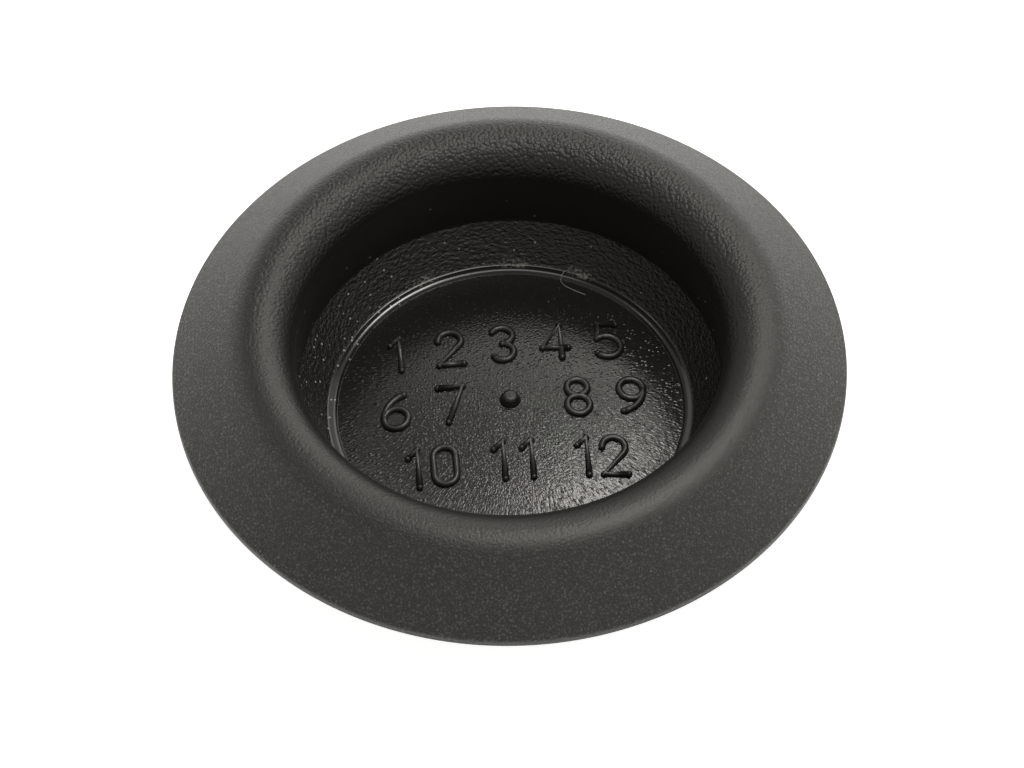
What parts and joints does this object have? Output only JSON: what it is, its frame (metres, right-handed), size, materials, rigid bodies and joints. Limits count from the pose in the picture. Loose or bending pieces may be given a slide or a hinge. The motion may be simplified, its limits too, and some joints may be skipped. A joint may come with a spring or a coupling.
{
  "type": "firewall plug",
  "caption": "Round moulded snap-in plug that closes a hole in sheet metal: wide umbrella skirt, rolled crest, neck with snap bead, tapered closed nose and a deep open recess.",
  "frame": {"origin": "centre of the closed end, on the level that the plug stands on", "axes": "+Z along the plug's axis, out of the open recess; the section is the same all round"},
  "size_m": [0.0286, 0.0286, 0.0067],
  "materials": {
    "moulded_black": "black moulded polyethylene, fine matt grain on the skirt and the crest, smooth dark neck wall, glossier grained floor in the recess"
  },
  "bodies": {
    "root": {"plug_body": "moulded_black"}
  },
  "joints": []
}
